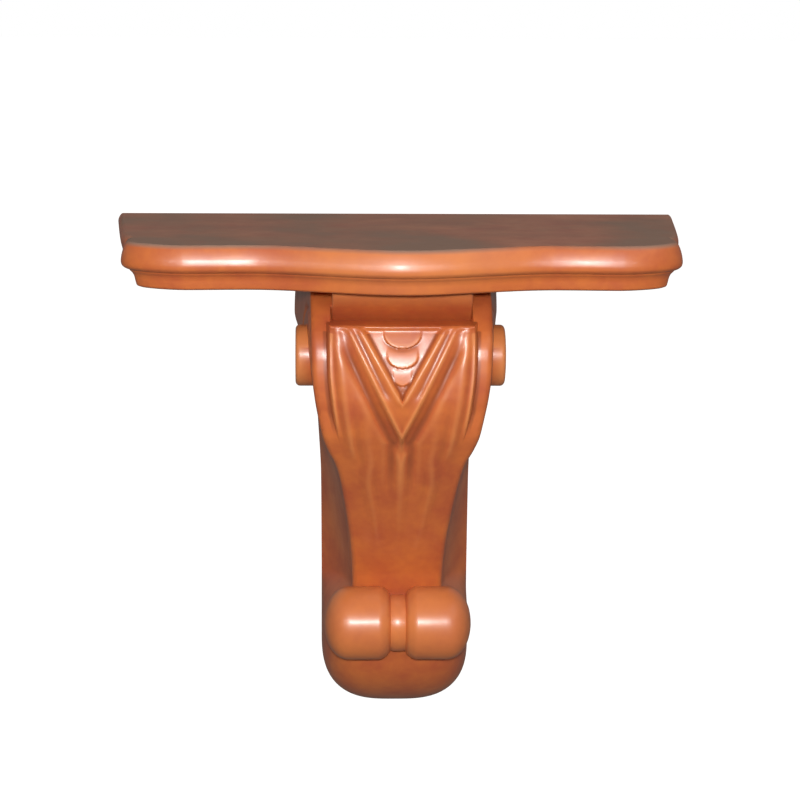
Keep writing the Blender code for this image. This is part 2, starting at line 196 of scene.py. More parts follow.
# 0 before start, 1 after end and smooth between: t * t * (3 - 2 t).
def ramp(start, end, x):
    t = np.clip((x - start) / (end - start), 0, 1)
    return t * t * (3 - 2 * t)


# Bell curve: 1 at the centre, exp(-1) at one width from it.
def hump(x, centre, width):
    return np.exp(-(((x - centre) / width) ** 2))


# A closed mesh from rings of points, an array of rings x points x 3. The quads run from each ring
# to the next, and each end closes on the middle of its ring.
def closedRings(name, rings):
    count, around = rings.shape[:2]
    middles = rings[[0, -1]].mean(axis=1)
    points = np.concatenate([rings.reshape(-1, 3), middles])
    here = np.arange(around)
    after = (here + 1) % around
    row = (np.arange(count - 1) * around)[:, None]
    corners = [row + here, row + around + here, row + around + after, row + after]
    quads = np.stack(corners, axis=-1).reshape(-1, 4)
    last = (count - 1) * around
    firstCap = np.stack([np.full(around, count * around), here, after], axis=-1)
    lastCap = np.stack([np.full(around, count * around + 1), last + after, last + here], axis=-1)
    mesh = bpy.data.meshes.new(name)
    mesh.from_pydata(points.tolist(), [], quads.tolist() + firstCap.tolist() + lastCap.tolist())
    shell = bmesh.new()
    shell.from_mesh(mesh)
    bmesh.ops.recalc_face_normals(shell, faces=shell.faces)
    shell.to_mesh(mesh)
    shell.free()
    made = bpy.data.objects.new(name, mesh)
    bpy.context.scene.collection.objects.link(made)
    return made


# Half sections of x and depth, mirrored about the centre line and set at their heights.
def bothHalves(halfX, halfDepth, heights):
    x = np.concatenate([-halfX[:, ::-1], halfX[:, 1:]], axis=1)
    y = np.concatenate([-halfDepth[:, ::-1], -halfDepth[:, 1:]], axis=1)
    return np.stack([x, y, np.broadcast_to(heights[:, None], x.shape)], axis=-1)


def lines(count):
    return max(3, int(round(count * grain)))


shelfSize = {
    "top": 0.150,
    "thickness": 0.030,
    "cornerHalf": 0.182,
    "cornerDepth": 0.1685,
    "cornerSideDepth": 0.140,
    "cornerFrontHalf": 0.140,
    "cornerFrontHandle": 0.012,
    "cornerSideHandle": 0.018,
    "bowRise": 0.0215,
    "bowHalf": 0.097,
    "hollowDepth": 0.0018,
    "hollowStart": 0.060,
    "nickDepth": 0.0034,
    "nickPlace": 0.125,
    "nickBack": 0.006,
    "nickFront": 0.004,
    "nickWhole": 0.45,  # shares of the thickness down to which it is whole, and where it ends
    "nickEnd": 0.90,
    "undercut": 0.0035,  # how much further the moulding runs in behind the nick
    "undercutRun": 0.010,
    "undercutOver": (0.1, 0.5),  # shares of the thickness between which it deepens
    "mouldingInset": 0.0125,
    # depth from the wall, and how far the side stands out there beyond the front corner
    "swell": [(0, 0.0138), (0.06, 0.0085), (0.10, 0.0045), (0.125, 0.001), (0.14, 0)],
    # inset and drop of the edge moulding, as shares of its own inset and of the thickness
    "moulding": [
        (0.400, 0.000), (0.325, 0.020), (0.235, 0.065), (0.149, 0.145), (0.072, 0.245), (0.026, 0.330),
        (0.000, 0.430), (0.024, 0.500), (0.120, 0.555), (0.270, 0.592), (0.410, 0.610), (0.460, 0.640),
        (0.590, 0.695), (0.690, 0.775), (0.750, 0.880), (0.820, 0.965), (1.000, 1.000),
    ],
    # grid lines across the front, the corner, each part of the side and the moulding
    "lines": {"front": 150, "corner": 60, "side": 60, "moulding": 84},
    "sideBreak": 0.105,  # depth where the side's two parts meet
    # rings that close the top and the underside: their sizes as shares, and their middle
    "closing": (0.3, 0.6, 0.82, 0.93, 0.98, 0.995),
    "middle": (0, -0.085, 0),
    # the painted highlight on the edge: on the bow, between these depths from the wall, and how much
    # lighter on the ovolo and on the cove, between these shares of the thickness
    "bowOver": (0.158, 0.183),
    "paintedLightOvolo": -0.65,
    "paintedLightCove": -0.40,
    "coveOver": (0.50, 0.60),
    "paintedLightFrom": 0.08,  # share of the thickness by which it is as light as that
}


# Half the plan of the shelf from the middle of its front to the wall, as x and depth. The front is
# a squared cosine bow with a shallow hollow beside it, the corner a Bezier curve, and the side a
# curve through the swell.
def shelfOutline():
    s = shelfSize
    x = np.linspace(0, s["cornerFrontHalf"], lines(s["lines"]["front"]))
    bow = s["bowRise"] * np.cos(np.clip(x / s["bowHalf"], 0, 1) * math.pi / 2) ** 2
    across = np.clip((x - s["hollowStart"]) / (s["cornerFrontHalf"] - s["hollowStart"]), 0, 1)
    hollow = s["hollowDepth"] * np.sin(math.pi * across) ** 2
    front = np.column_stack([x, s["cornerDepth"] + bow - hollow])
    t = np.linspace(0, 1, lines(s["lines"]["corner"]))[1:, None]
    a = np.array([[s["cornerFrontHalf"], s["cornerDepth"]]])
    b = np.array([[s["cornerFrontHalf"] + s["cornerFrontHandle"], s["cornerDepth"]]])
    c = np.array([[s["cornerHalf"], s["cornerSideDepth"] + s["cornerSideHandle"]]])
    d = np.array([[s["cornerHalf"], s["cornerSideDepth"]]])
    corner = a * (1 - t) ** 3 + 3 * b * t * (1 - t) ** 2 + 3 * c * t * t * (1 - t) + d * t ** 3
    sideLines = lines(s["lines"]["side"])
    near = np.linspace(s["cornerSideDepth"], s["sideBreak"], sideLines)[1:]
    depth = np.concatenate([near, np.linspace(s["sideBreak"], 0, sideLines)[1:]])
    side = np.column_stack([s["cornerHalf"] + throughPairs(s["swell"], depth), depth])
    return np.concatenate([front, corner, side])


# The outline carried down the edge moulding, inset step by step, with the top and the underside
# closed by rings that shrink towards the middle.
def makeShelf():
    s = shelfSize
    outline = shelfOutline()
    along = np.gradient(outline, axis=0)
    outward = np.column_stack([-along[:, 1], along[:, 0]])
    outward /= np.linalg.norm(outward, axis=1)[:, None]
    outward[0] = (0, 1)
    outward[-1] = (1, 0)
    past = outline[:, 1] - s["nickPlace"]
    nick = s["nickDepth"] * np.exp(-np.abs(past) / np.where(past > 0, s["nickFront"], s["nickBack"]))
    nick[outline[:, 0] < s["cornerHalf"] - s["nickDepth"]] = 0
    knots = np.array(s["moulding"])
    place = np.linspace(0, 1, len(knots))
    t = np.linspace(0, 1, lines(s["lines"]["moulding"]))
    insets = s["mouldingInset"] * throughPairs(np.column_stack([place, knots[:, 0]]), t)
    drops = s["thickness"] * throughPairs(np.column_stack([place, knots[:, 1]]), t)
    down = (drops / s["thickness"])[:, None]
    onSide = ramp(s["nickPlace"], s["nickPlace"] - s["undercutRun"], outline[:, 1])
    undercut = s["undercut"] * onSide * ramp(*s["undercutOver"], down)
    shift = insets[:, None] + nick * ramp(s["nickEnd"], s["nickWhole"], down) + undercut
    half = outline[None] - outward[None] * shift[:, :, None]
    half[:, -1, 1] = 0
    rings = bothHalves(half[:, :, 0], half[:, :, 1], s["top"] - drops)
    shrink = np.array(s["closing"])[:, None, None]
    middle = np.array(s["middle"])
    level, upright = np.array([1, 1, 0]), np.array([0, 0, 1])
    over = middle + (rings[0] - middle) * level * shrink + rings[0] * upright
    under = middle + (rings[-1] - middle) * level * shrink[::-1] + rings[-1] * upright
    return closedRings("shelfGlazed", np.concatenate([over, rings, under]))


corbelSize = {
    "top": 0.1197,
    "height": 0.319,
    "bandHalf": 0.060,
    "projection": 0.1546,
    "backHalf": 0.052,
    "edgeRound": 0.0045,
    "leafShare": 0.81,  # half width of the leaf, as a share of the front's
    "leafEdge": 0.025,  # to each side of it, over which the leaf falls to the band
    "bandGone": (0.25, 0.33),  # shares of the height between which the band runs into the leaf
    "lip": 0.075,
    "lipRound": 0.0015,
    "lipBead": 0.0011,
    "lipBeadDrop": 0.0008,
    "lipBeadWidth": 0.0018,
    "blockHalf": 0.0456,
    "blockTopDepth": 0.150,
    "blockFootDepth": 0.1275,
    "blockBackDepth": 0.090,
    "blockHeight": 0.0232,
    "blockSink": 0.004,  # how far it runs down into the leaf
    "blockCurve": 1.45,
    "blockRound": 0.0015,
    "bedDepth": 0.004,  # how far the body lies back behind the foot of the block
    "bedOver": (0.0012, 0.0002),  # beside the block, from none of the bed to all of it
    "carvingGone": (0.66, 0.69),
    "bowlStart": 0.70,
    "bowlFull": 0.80,
    "bowlCentre": 0.768,
    "bowlDepth": 0.084,
    "bowlSideStart": 0.858,
    "bowlSquare": 2.4,
    "bowlSection": 3.2,
    "bowlLast": 0.985,
    "filletReach": 0.004,  # where the leaf runs down onto the roll
    "filletDepth": 0.001,
    "filletHalf": 0.95,  # share of the front's half width
    # pairs of (share of the height, value): depths as shares of the projection, half widths as
    # shares of bandHalf and backHalf
    "leafDepth": [
        (0.076, 0.96), (0.100, 0.976), (0.120, 0.986), (0.140, 0.9935), (0.160, 0.998), (0.190, 1),
        (0.220, 0.997), (0.248, 0.985), (0.270, 0.969), (0.306, 0.937), (0.331, 0.907), (0.395, 0.828),
        (0.476, 0.718), (0.558, 0.611), (0.623, 0.53), (0.665, 0.485), (0.720, 0.452), (0.770, 0.49),
        (0.830, 0.53),
    ],
    "bandDepth": [
        (0.000, 0.615), (0.028, 0.725), (0.046, 0.802), (0.079, 0.890), (0.096, 0.922), (0.112, 0.943),
        (0.128, 0.956), (0.150, 0.965), (0.186, 0.970), (0.228, 0.964), (0.267, 0.944), (0.306, 0.912),
        (0.331, 0.884),
    ],
    "frontHalf": [
        (0.000, 1.000), (0.165, 0.985), (0.228, 0.950), (0.291, 0.890), (0.318, 0.858), (0.348, 0.800),
        (0.376, 0.730), (0.400, 0.690), (0.455, 0.635), (0.520, 0.585), (0.575, 0.550), (0.670, 0.520),
        (0.695, 0.520), (0.730, 0.680), (0.770, 0.780), (0.830, 0.800),
    ],
    "wallHalf": [
        (0.000, 1.330), (0.120, 1.370), (0.165, 1.300), (0.210, 1.170), (0.250, 1.115), (0.395, 1.040),
        (0.490, 1.010), (0.700, 1.000),
    ],
    # how the flank bends between the front and the wall, and the fall of the front to its edges
    "flankBend": [(0.00, 1.0), (0.25, 1.1), (0.45, 2.0), (0.70, 2.0), (0.83, 1.0)],
    "crown": [(0.00, 0.002), (0.08, 0.002), (0.25, 0.0035), (0.45, 0.004), (0.69, 0.003)],
    # grid lines across a section, and sections down the corbel
    "lines": {"front": 90, "edge": 7, "flank": 52, "block": 30, "blockEdge": 6},
    "sections": {"top": 16, "lip": 7, "leaf": 136, "lower": 72, "bottom": 30},
    "leafFoot": 0.36,  # share of the height down to which the sections are closest
    "lipGap": (0.0004, 0.00005),  # from the lip up to the last section above, and down to the first
    # painted light and shade on the block, from its top to its foot: lighter, then darker
    "blockPaintedLight": (-0.5, 0.45),
    "blockPaintedLightOver": (0.2, 1),
}

# The carving, in mm of height. Paths are pairs of (share of the height, share of the half width).
# The pairs of numbers in brackets are where something starts and ends: shares of the height, or
# of bandHalf where it runs across.
leafCarving = {
    "belowLip": 0.012,  # share of the height, from the lip down to the full carving
    "pointOver": (-0.10, -0.04),  # below the V's point
    "plate": 1.2,
    "plateEdge": (-0.02, 0.05),
    "plateRise": 2.2,  # how much more it stands out towards its point, where its floor doesn't
    "plateRiseOver": (0.1, 0.3),
    "outerRib": {"tip": 0.325, "slope": 2.47, "rise": 1.2, "width": 0.052, "in": 0.02},
    "innerRib": {"tip": 0.237, "slope": 2.94, "rise": 1.1, "width": 0.045, "over": (-0.05, 0.04)},
    "between": {"dip": 0.7, "width": 0.04, "out": 0.01, "over": (0.02, 0.1)},
    "floor": {"dip": 1.5, "more": 0.5, "moreOver": (0.10, 0.165), "edge": 0.07},
    "valley": {"dip": 3.1, "width": 0.065, "out": 0.110, "start": (0.085, 0.16), "end": (0.36, 0.47)},
    # lowest point as a share of the height, half width and length in mm, and over how many
    # lengths the scale sinks into the floor
    "scales": [(0.120, 12, 9, 1.6), (0.160, 10, 8, 1.7), (0.196, 6, 5, 2.4)],
    # in mm beside the scale's edge, and its height and its hollow's depth as shares of the length
    "scaleEdge": (0.6, -0.6),
    "scaleRise": 0.14,
    "hollowEdge": (-0.4, 0.5),
    "hollowRun": 2.2,
    "hollowDip": 0.09,
    "flutesOver": (0.04, 0.14),  # outside the V
    "flutes": [
        {
            "path": [(0.34, 0.0), (0.60, 0.0)],
            "rise": [(0.33, 0.0), (0.36, 1.5), (0.43, 1.5), (0.58, 0.0)],
            "width": 0.10,
        },
        {
            "path": [(0.22, 0.42), (0.35, 0.43), (0.43, 0.53), (0.51, 0.47), (0.60, 0.42)],
            "rise": [(0.21, 0.0), (0.31, 1.3), (0.385, 1.7), (0.43, 1.4), (0.50, 0.8), (0.60, 0.0)],
            "width": 0.09,
        },
        {
            "path": [(0.08, 0.70), (0.20, 0.66), (0.30, 0.65), (0.36, 0.68), (0.42, 0.72)],
            "rise": [(0.08, 0.9), (0.20, 1.5), (0.335, 2.1), (0.37, 0.8), (0.42, 0.0)],
            "width": 0.075,
        },
    ],
    # the groove beside the leaf's edge, which leans in and grows shallower down the leaf
    "groove": {"dip": 1.4, "width": 0.05, "in": 0.02, "lean": 0.35, "end": (0.30, 0.45)},
    "grooveLess": 0.8,
    "grooveLessOver": (0.12, 0.28),
}


# Height of the V's three scales in mm. Each is the lower half of an ellipse that stands out most
# at its edge and sinks into the floor above it, with a hollow below the edge that dies out
# towards its sides.
def scales(side, height):
    c = leafCarving
    relief = 0
    for lowest, half, length, fall in c["scales"]:
        up = (lowest - height) * corbelSize["height"] * 1000
        across = side * corbelSize["bandHalf"] * 1000 / half
        reach = np.hypot(across, np.maximum(1 - up / length, 0))
        past = (reach - 1) * length
        tile = ramp(*c["scaleEdge"], past) * np.clip(1 - up / (fall * length), 0, 1)
        towardFoot = np.clip(1 - up / length, 0, 1) / np.maximum(reach, 0.1)
        hollow = ramp(*c["hollowEdge"], past) * np.exp(-np.maximum(past, 0) / c["hollowRun"])
        hollow = hollow * np.minimum(towardFoot, 1)
        relief = relief + (c["scaleRise"] * tile - c["hollowDip"] * hollow) * length
    return relief


# Height of the leaf's relief in mm, from ridges and grooves that are bell curves across their
# paths: the V of ribs, its floor of scales, the valley outside it and the flutes.
def carving(side, height, share):
    c = leafCarving
    lip = corbelSize["lip"]
    innerRib, outerRib, between, ground, valley, groove = [
        c[name] for name in ("innerRib", "outerRib", "between", "floor", "valley", "groove")
    ]
    inner = innerRib["slope"] * (innerRib["tip"] - height)
    outer = outerRib["slope"] * (outerRib["tip"] - height)
    inV = ramp(*c["pointOver"], outer)
    plateRise = c["plateRise"] * ramp(*c["plateRiseOver"], height)
    relief = ramp(*c["plateEdge"], outer - side) * (c["plate"] + plateRise)
    relief = relief + outerRib["rise"] * hump(side, outer - outerRib["in"], outerRib["width"])
    innerPath = hump(side, inner, innerRib["width"]) * ramp(*innerRib["over"], inner)
    relief = relief + innerRib["rise"] * innerPath
    gap = hump(side, (inner + outer) / 2 + between["out"], between["width"])
    relief = relief - between["dip"] * gap * ramp(*between["over"], inner)
    floor = ground["dip"] + ground["more"] * (1 - ramp(*ground["moreOver"], height)) + plateRise
    relief = relief - floor * ramp(0, ground["edge"], inner - side)
    relief = inV * (relief + scales(side, height))
    path = hump(side, np.maximum(outer, 0) + valley["out"], valley["width"])
    path = path * ramp(*valley["start"], height) * (1 - ramp(*valley["end"], height))
    relief = relief - valley["dip"] * path
    outside = ramp(*c["flutesOver"], side - outer)
    for flute in c["flutes"]:
        ridge = hump(share, throughPairs(flute["path"], height), flute["width"])
        relief = relief + throughPairs(flute["rise"], height) * ridge * outside
    centre = corbelSize["leafShare"] - groove["in"] - groove["lean"] * (height - lip)
    dip = groove["dip"] - c["grooveLess"] * ramp(*c["grooveLessOver"], height)
    dip = dip * (1 - ramp(*groove["end"], height))
    relief = relief - dip * hump(share, centre, groove["width"])
    return relief * ramp(lip, lip + c["belowLip"], height)


# Front of the lower roll at x and drop, or 0 beside it.
def rollFront(x, drop):
    r = rollSize
    radius = rollRadius(np.abs(x))
    inside = radius ** 2 - (drop - r["drop"]) ** 2
    return np.where(inside > 0, r["depth"] + np.sqrt(np.maximum(inside, 0)), 0)


# Distance from the wall to the carved front, at x from the centre line.
def frontDepth(x, drop):
    c = corbelSize
    height = drop / c["height"]
    share = x / (c["bandHalf"] * throughPairs(c["frontHalf"], height))
    band = c["projection"] * throughPairs(c["bandDepth"], height)
    leaf = c["projection"] * throughPairs(c["leafDepth"], height)
    belowLip = height >= c["lip"]
    onLeaf = ramp(c["leafShare"] + c["leafEdge"], c["leafShare"] - c["leafEdge"], share) * belowLip
    depth = band + (leaf - band) * np.maximum(onLeaf, ramp(*c["bandGone"], height))
    # the lip's rounded upper edge with its bead, and the bed behind the block
    lipDrop = c["lip"] * c["height"]
    t = np.clip((drop - lipDrop) / c["lipRound"], 0, 1)
    depth = depth - c["lipRound"] * (1 - np.sqrt(1 - (1 - t) ** 2)) * onLeaf
    depth = depth + c["lipBead"] * hump(drop, lipDrop + c["lipBeadDrop"], c["lipBeadWidth"]) * onLeaf
    bed = np.minimum(depth, c["blockFootDepth"] - c["bedDepth"])
    behind = ramp(*c["bedOver"], x - c["blockHalf"]) * (1 - belowLip)
    depth = depth + (bed - depth) * behind
    depth = depth - throughPairs(c["crown"], height) * share ** 2 * (1 - behind)
    fade = 1 - ramp(*c["carvingGone"], height)
    return depth + 0.001 * fade * carving(x / c["bandHalf"], height, share)


# Depth of the scroll's groove in the side: a spiral round the eye, and a line that runs on from
# it down to the roll, level with the front edge.
def sideGroove(depth, drop, edge):
    e = eyeSize
    across = depth - e["depth"]
    up = e["drop"] - drop
    turn = np.mod(np.arctan2(up, across), 2 * math.pi) / (2 * math.pi)
    radius = e["spiralOut"] - e["spiralPitch"] * turn
    spiral = hump(np.hypot(across, up), radius, e["grooveWidth"])
    line = hump(depth, edge - e["edgeToGroove"], e["grooveWidth"]) * (drop > e["drop"])
    fade = 1 - ramp(*e["grooveGone"], drop / corbelSize["height"])
    return e["grooveDepth"] * np.maximum(spiral, line * fade)


# Half sections from the centre line to the wall: the carved front, a quarter circle at its edge
# and the flank. Lower down they turn into a bowl whose sections are superellipses.
def corbelSections(drops):
    c = corbelSize
    drop = drops[:, None]
    height = drop / c["height"]
    half = c["bandHalf"] * throughPairs(c["frontHalf"], height)
    wall = c["backHalf"] * throughPairs(c["wallHalf"], height)
    inner = half - c["edgeRound"]
    frontX = inner * np.linspace(0, 1, lines(c["lines"]["front"]) + 1)[None, :]
    frontY = frontDepth(frontX, drop)
    turn = np.linspace(0, math.pi / 2, lines(c["lines"]["edge"]) + 1)[None, 1:]
    cornerX = inner + c["edgeRound"] * np.sin(turn)
    cornerY = frontY[:, -1:] - c["edgeRound"] * (1 - np.cos(turn))
    back = np.linspace(1, 0, lines(c["lines"]["flank"]) + 1)[None, 1:]
    flankX = half + (wall - half) * (1 - back) ** throughPairs(c["flankBend"], height)
    flankY = back * cornerY[:, -1:]
    flankX = flankX - sideGroove(flankY, drop, cornerY[:, -1:])
    x = np.concatenate([frontX, cornerX, flankX], axis=1)
    y = np.concatenate([frontY, cornerY, flankY], axis=1)
    turned = ramp(c["bowlStart"], c["bowlFull"], height)
    around = np.linspace(0, math.pi / 2, x.shape[1])[None, :]
    down = np.clip((height - c["bowlCentre"]) / (1 - c["bowlCentre"]), 0, 1)
    bowlDepth = c["bowlDepth"] * np.sqrt(1 - down ** 2)
    aside = np.clip((height - c["bowlSideStart"]) / (1 - c["bowlSideStart"]), 0, 1)
    bowlHalf = wall * (1 - aside ** c["bowlSquare"]) ** (1 / c["bowlSquare"])
    bowlX = bowlHalf * np.sin(around) ** (2 / c["bowlSection"])
    bowlY = bowlDepth * np.abs(np.cos(around)) ** (2 / c["bowlSection"])
    bowlY[:, -1] = 0
    x = x + (bowlX - x) * turned
    y = y + (bowlY - y) * turned
    # a fillet where the leaf runs down onto the lobes of the roll
    near = np.clip(1 - np.abs(y - rollFront(x, drop)) / c["filletReach"], 0, 1) ** 2
    onLobe = ramp(rollSize["neckHalf"], rollSize["neckHalf"] + c["filletReach"], x)
    onLobe = onLobe * (drop < rollSize["drop"]) * (x < half * c["filletHalf"])
    return x, y + c["filletDepth"] * near * onLobe


# Heights of the sections: close at the lip and over the leaf, and closer towards the bottom.
def corbelDrops():
    c = corbelSize
    count = c["sections"]
    lip = c["lip"] * c["height"]
    upper = np.linspace(0, lip - c["lipGap"][0], lines(count["top"]))
    turn = np.linspace(0, math.pi / 2, lines(count["lip"]))
    rounded = lip + c["lipGap"][1] + c["lipRound"] * (1 - np.cos(turn))
    leaf = np.linspace(rounded[-1], c["leafFoot"] * c["height"], lines(count["leaf"]))[1:]
    lower = np.linspace(c["leafFoot"], c["bowlCentre"], lines(count["lower"]))[1:] * c["height"]
    angle = np.linspace(0, math.asin(c["bowlLast"]), lines(count["bottom"]))[1:]
    low = (c["bowlCentre"] + (1 - c["bowlCentre"]) * np.sin(angle)) * c["height"]
    return np.concatenate([upper, rounded, leaf, lower, low])


# The sections set at their heights, from the shelf down to the bottom of the bowl.
def makeScroll():
    drops = corbelDrops()
    halfX, halfDepth = corbelSections(drops)
    return closedRings("corbelGlazed", bothHalves(halfX, halfDepth, corbelSize["top"] - drops))


# The block under the shelf: its front curves in towards the leaf, and its ends are rounded.
def makeBlock():
    c = corbelSize
    drops = np.linspace(0, c["blockHeight"] + c["blockSink"], lines(c["lines"]["block"]))
    curve = (drops / c["blockHeight"]) ** c["blockCurve"]
    depth = c["blockTopDepth"] - (c["blockTopDepth"] - c["blockFootDepth"]) * curve
    edge = c["blockRound"]
    turn = np.linspace(0, math.pi / 2, lines(c["lines"]["blockEdge"]))
    x = np.concatenate([[0], c["blockHalf"] - edge + edge * np.sin(turn), [c["blockHalf"]]])
    back = np.concatenate([[0], edge * (1 - np.cos(turn)), [0]])
    y = depth[:, None] - back[None, :]
    y[:, -1] = c["blockBackDepth"]
    return closedRings("block", bothHalves(np.broadcast_to(x, y.shape), y, c["top"] - drops))


rollSize = {
    "depth": 0.087,
    "drop": 0.2412,
    "radius": 0.0252,
    "half": 0.0503,
    "neckHalf": 0.0055,
    "neckRadius": 0.0197,
    "neckDip": 0.0008,  # how far the neck falls away at its ends
    "lobeEnd": 0.018,
    "lobeEndSquare": 2.3,
    "lobeRound": 0.008,
    "lobeRoundSquare": 3,
    "lobeSteep": 0.6,  # share of the lobe's inner end that rises steeply, where the rest is smooth
    "lines": {"neck": 6, "inner": 12, "outer": 16, "around": 96},
    "neckLast": 0.9,  # share of neckHalf
    "lastAngle": 1.54,  # radians, just short of the pole
    "paintedLightening": -0.5,  # painted lighter all over the roll, a painted light
}

eyeSize = {
    "depth": 0.100,
    "drop": 0.0520,
    "radius": 0.0205,
    "half": 0.0697,
    "round": 0.003,
    "root": 0.045,
    "spiralOut": 0.035,
    "spiralPitch": 0.012,
    "edgeToGroove": 0.013,
    "grooveWidth": 0.0018,
    "grooveDepth": 0.0018,
    "grooveGone": (0.60, 0.68),
    "lines": {"rim": 8, "face": 8, "around": 72},
    "faceOver": (0.85, 0.1),  # shares of the flat face's radius, from the first ring to the last
    # painted lighter all over the eye, a painted sheen
    "paintedLightening": -0.9,
}


# Radius of the lower roll at x: a narrow neck between two lobes with rounded ends.
def rollRadius(x):
    r = rollSize
    short = np.clip((r["neckHalf"] + r["lobeRound"] - x) / r["lobeRound"], 0, 1)
    steep = np.sqrt(1 - short ** r["lobeRoundSquare"])
    rise = r["lobeSteep"] * steep + (1 - r["lobeSteep"]) * ramp(1, 0, short)
    lobe = r["neckRadius"] + (r["radius"] - r["neckRadius"]) * rise
    barrel = r["neckRadius"] - r["neckDip"] * (x / r["neckHalf"]) ** 2
    body = np.where(x < r["neckHalf"], barrel, np.maximum(lobe, r["neckRadius"] - r["neckDip"]))
    out = np.clip((x - (r["half"] - r["lobeEnd"])) / r["lobeEnd"], 0, 1)
    return body * np.sqrt(1 - out ** r["lobeEndSquare"])


# A body turned about a line along X, from arrays of x and radius.
def turned(name, x, radius, depth, drop, around):
    angle = np.linspace(0, 2 * math.pi, lines(around) + 1)[:-1]
    y = -depth + radius[:, None] * np.cos(angle)
    z = corbelSize["top"] - drop + radius[:, None] * np.sin(angle)
    return closedRings(name, np.stack([np.broadcast_to(x[:, None], y.shape), y, z], axis=-1))


# The roll turned from its radius, with its lines closest where the neck meets the lobes and
# where the lobes end.
def makeRoll():
    r = rollSize
    count = r["lines"]
    neck = np.linspace(0, r["neckLast"], count["neck"]) * r["neckHalf"]
    short = np.linspace(1, 0, lines(count["inner"])) ** 2
    inner = r["neckHalf"] + r["lobeRound"] * (1 - short)
    angle = np.linspace(0, r["lastAngle"], lines(count["outer"]))
    outer = r["half"] - r["lobeEnd"] + r["lobeEnd"] * np.sin(angle)
    x = np.concatenate([neck, inner, outer])
    x = np.concatenate([-x[::-1], x[1:]])
    return turned("roll", x, rollRadius(np.abs(x)), r["depth"], r["drop"], count["around"])


# A disc at one side of the corbel: a cylinder, a quarter circle at its rim and a flat face.
def makeEye(side):
    e = eyeSize
    turn = np.linspace(0, math.pi / 2, lines(e["lines"]["rim"]))
    rim = e["half"] - e["round"] + e["round"] * np.sin(turn)
    face = np.linspace(*e["faceOver"], lines(e["lines"]["face"])) * (e["radius"] - e["round"])
    x = np.concatenate([[e["root"]], rim, np.full(len(face), e["half"])])
    radius = np.concatenate([[e["radius"]], e["radius"] - e["round"] + e["round"] * np.cos(turn), face])
    return turned("eye", side * x, radius, e["depth"], e["drop"], e["lines"]["around"])


# Joins closed shells to the first one, and leaves only the outer skin.
def joined(target, others):
    for other in others:
        join = target.modifiers.new("join", "BOOLEAN")
        join.operation = "UNION"
        join.solver = "EXACT"
        join.object = other
    graph = bpy.context.evaluated_depsgraph_get()
    mesh = bpy.data.meshes.new_from_object(target.evaluated_get(graph))
    target.modifiers.clear()
    target.data = mesh
    for other in others:
        bpy.data.objects.remove(other, do_unlink=True)
    return target


# A value kept at each point of each piece darkens or lightens its colour. Above 0, in mm, it is
# darker: painted shade, and in the carving's grooves partly pooled glaze. Below 0 it is lighter:
# painted light, and on the carved ridges partly thin glaze.
marking = {
    "around": 0.003,  # to each side, over which the front's mean height is taken
    "most": 1.5,
    "onFront": 0.0006,  # how near a point lies to a surface that it belongs to
    "onTurned": 0.0003,
    "onBlock": 0.0001,
    "belowLip": 0.005,
    "pastBand": 0.001,
}


# The points of a mesh as an array of points x 3.
def pointsOf(mesh):
    places = np.empty(len(mesh.vertices) * 3, np.float32)
    mesh.vertices.foreach_get("co", places)
    return places.reshape(-1, 3).astype(float)


# Keeps one value of recess for each point of a mesh.
def storeGlazeAndPaintedLight(mesh, values):
    mark = mesh.attributes.new("glazeAndPaintedLight", "FLOAT", "POINT")
    mark.data.foreach_set("value", values.astype(np.float32))


# On the carved front, the mean height to each side less the point's own height, so grooves are
# painted darker in shade and ridges lighter. The block, the roll and the eyes have their own values
# of painted light and shade.
def markCorbel(mesh):
    m, c, r, e = marking, corbelSize, rollSize, eyeSize
    places = pointsOf(mesh)
    x = np.abs(places[:, 0])
    depth = -places[:, 1]
    drop = c["top"] - places[:, 2]
    here = frontDepth(x, drop)
    step = m["around"]
    steps = ((step, 0), (-step, 0), (0, step), (0, -step))
    around = sum(frontDepth(np.abs(x + dx), np.maximum(drop + dz, 0)) for dx, dz in steps) / 4
    lip = c["lip"] * c["height"]
    onFront = (np.abs(depth - here) < m["onFront"]) & (drop > lip + m["belowLip"])
    glazeAndPaintedLight = np.where(onFront, np.clip((around - here) * 1000, -m["most"], m["most"]), 0)
    # the block is painted lighter at its top and darker, in painted shade, towards its foot, which
    # faces down
    onBlock = (drop < lip) & (x < c["blockHalf"] + m["onBlock"])
    paintedLight, paintedShade = c["blockPaintedLight"]
    down = ramp(*c["blockPaintedLightOver"], drop / c["blockHeight"])
    glazeAndPaintedLight = np.where(onBlock, paintedLight + (paintedShade - paintedLight) * down, glazeAndPaintedLight)
    # the roll and the eyes are painted lighter all over, a painted light
    fromRoll = np.hypot(depth - r["depth"], drop - r["drop"])
    onRoll = (np.abs(fromRoll - rollRadius(x)) < m["onTurned"]) & (x < r["half"])
    glazeAndPaintedLight = np.where(onRoll, r["paintedLightening"], glazeAndPaintedLight)
    fromEye = np.hypot(depth - e["depth"], drop - e["drop"])
    onEye = (fromEye < e["radius"] + m["onTurned"]) & (x > c["bandHalf"] + m["pastBand"])
    storeGlazeAndPaintedLight(mesh, np.where(onEye, e["paintedLightening"], glazeAndPaintedLight))


# On the shelf's edge a painted highlight makes it lighter, most on the ovolo and less on the
# cove, and only on the bow, towards its front.
def markEdge(mesh):
    s = shelfSize
    places = pointsOf(mesh)
    down = (s["top"] - places[:, 2]) / s["thickness"]
    proud = ramp(*s["bowOver"], -places[:, 1])
    paintedLight = s["paintedLightOvolo"] + (s["paintedLightCove"] - s["paintedLightOvolo"]) * ramp(*s["coveOver"], down)
    storeGlazeAndPaintedLight(mesh, paintedLight * proud * ramp(0, s["paintedLightFrom"], down))


